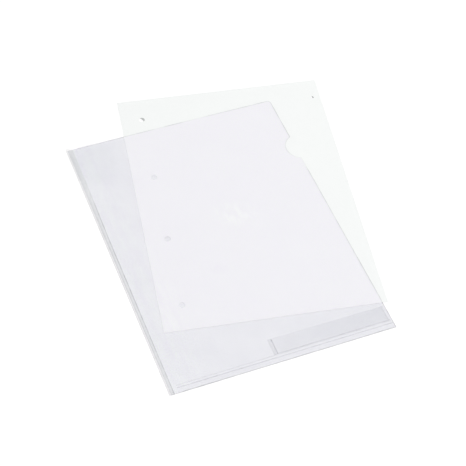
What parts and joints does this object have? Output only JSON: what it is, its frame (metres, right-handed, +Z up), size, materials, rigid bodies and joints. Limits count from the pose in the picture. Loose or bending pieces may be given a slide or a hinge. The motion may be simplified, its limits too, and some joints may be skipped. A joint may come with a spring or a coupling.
{
  "type": "clear document folder",
  "caption": "Clear L-shaped document folder for A4 paper, open at the top and one side, with a thumb notch, a label pocket and a punched sheet pulled partly out.",
  "frame": {"origin": "centre of the folder's 220 by 310 mm footprint, on the rear film's underside, which lies on the table", "axes": "+X towards the open side, +Y towards the open top, +Z up, out of the front film"},
  "size_m": [0.2766, 0.358, 0.0034],
  "materials": {
    "clear_film": "clear polypropylene film with a faint frosted grain",
    "label_film": "clear film, slightly greyer",
    "weld": "pressed weld line, slightly denser",
    "paper": "matt white copy paper"
  },
  "bodies": {
    "folder": {"rear_film": "clear_film", "spine_fold": "clear_film", "spine_slope": "clear_film", "spine_pressed": "clear_film", "front_film": "clear_film", "front_pressed_edge": "clear_film", "bottom_weld_inner": "weld", "bottom_weld_outer": "weld", "label_pocket_film": "label_film", "label_pocket_weld": "weld"},
    "front_flap": {"front_flap": "clear_film"},
    "sheet": {"paper_sheet": "paper"}
  },
  "joints": [
    {"name": "front_lift", "type": "hinge", "parent": "folder", "child": "front_flap", "pos_m": [-0.102, 0.155, 0.0013], "axis": [0.5836, -0.8121, 0], "range_deg": [0, 70]},
    {"name": "sheet_slide", "type": "slide", "parent": "folder", "child": "sheet", "axis": [0.1736, 0.9848, 0], "range_m": [-0.015, 0.2]}
  ]
}
